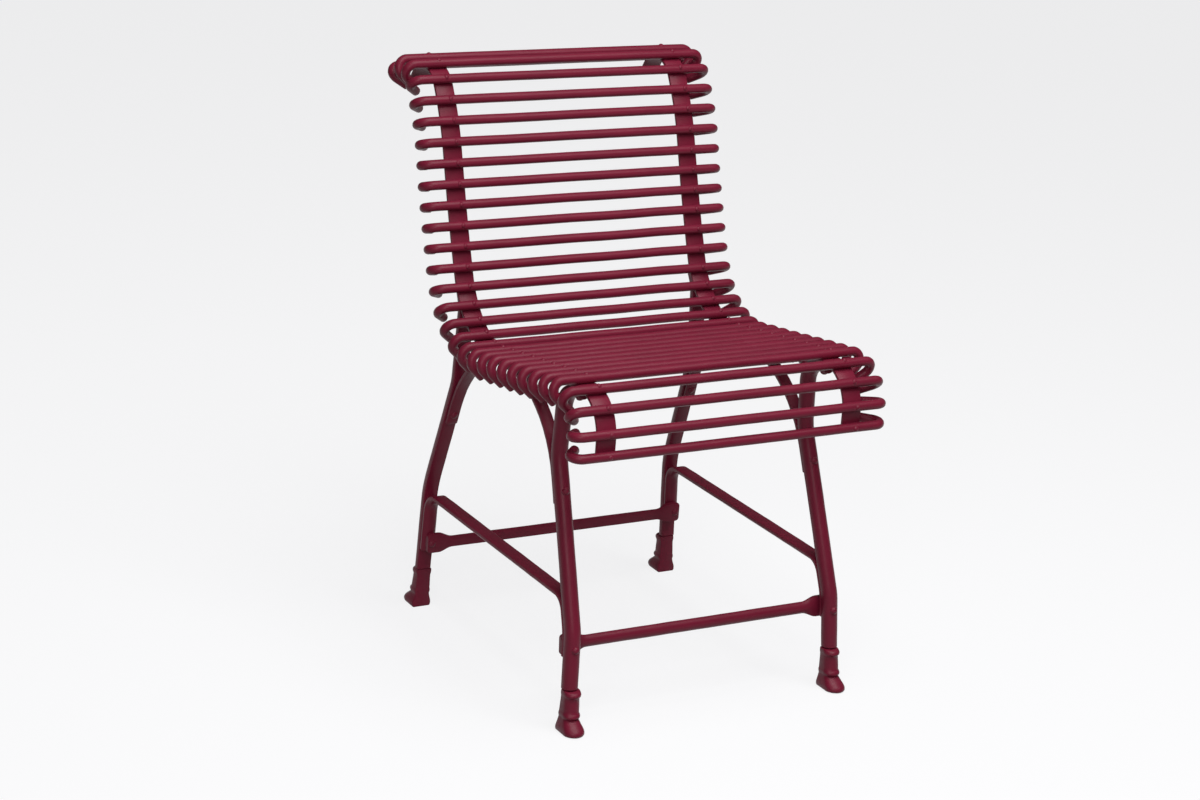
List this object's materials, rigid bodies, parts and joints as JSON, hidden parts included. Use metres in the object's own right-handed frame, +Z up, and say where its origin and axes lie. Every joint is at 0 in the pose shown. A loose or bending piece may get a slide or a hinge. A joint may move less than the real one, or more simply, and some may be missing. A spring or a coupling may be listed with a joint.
{
  "type": "slatted metal garden chair",
  "caption": "Armless metal garden chair: round steel rods with hooked ends riveted across two bent straps that form seat and back, on four half-round legs with hoof feet.",
  "frame": {"origin": "the floor under the middle of the chair's bounding box; the hoof soles stand on Z = 0", "axes": "+Z up; the chair faces -Y; +X is to the right of a viewer who stands in front of the chair"},
  "size_m": [0.465, 0.5908, 0.7623],
  "materials": {
    "rod_paint": "semi-gloss wine red paint",
    "bar_paint": "semi-gloss wine red paint",
    "cast_paint": "semi-gloss wine red paint",
    "rivet_paint": "semi-gloss wine red paint"
  },
  "bodies": {
    "root": {"front_rod_01": "rod_paint", "front_rod_02": "rod_paint", "front_rod_03": "rod_paint", "front_rod_04": "rod_paint", "seat_rod_01": "rod_paint", "seat_rod_02": "rod_paint", "seat_rod_03": "rod_paint", "seat_rod_04": "rod_paint", "seat_rod_05": "rod_paint", "seat_rod_06": "rod_paint", "seat_rod_07": "rod_paint", "seat_rod_08": "rod_paint", "seat_rod_09": "rod_paint", "seat_rod_10": "rod_paint", "back_rod_01": "rod_paint", "back_rod_02": "rod_paint", "back_rod_03": "rod_paint", "back_rod_04": "rod_paint", "back_rod_05": "rod_paint", "back_rod_06": "rod_paint", "back_rod_07": "rod_paint", "back_rod_08": "rod_paint", "back_rod_09": "rod_paint", "back_rod_10": "rod_paint", "back_rod_11": "rod_paint", "back_rod_12": "rod_paint", "back_rod_13": "rod_paint", "top_rod_01": "rod_paint", "top_rod_02": "rod_paint", "top_rod_03": "rod_paint", "top_rod_04": "rod_paint", "strap_left": "bar_paint", "front_leg_left": "bar_paint", "rear_leg_left": "bar_paint", "seat_arch_left": "bar_paint", "side_stretcher_left": "bar_paint", "front_hoof_left": "cast_paint", "rear_hoof_left": "cast_paint", "rod_rivets_left": "rivet_paint", "frame_rivets_left": "rivet_paint", "strap_right": "bar_paint", "front_leg_right": "bar_paint", "rear_leg_right": "bar_paint", "seat_arch_right": "bar_paint", "side_stretcher_right": "bar_paint", "front_hoof_right": "cast_paint", "rear_hoof_right": "cast_paint", "rod_rivets_right": "rivet_paint", "frame_rivets_right": "rivet_paint", "front_stretcher": "bar_paint", "rear_stretcher": "bar_paint"}
  },
  "joints": []
}
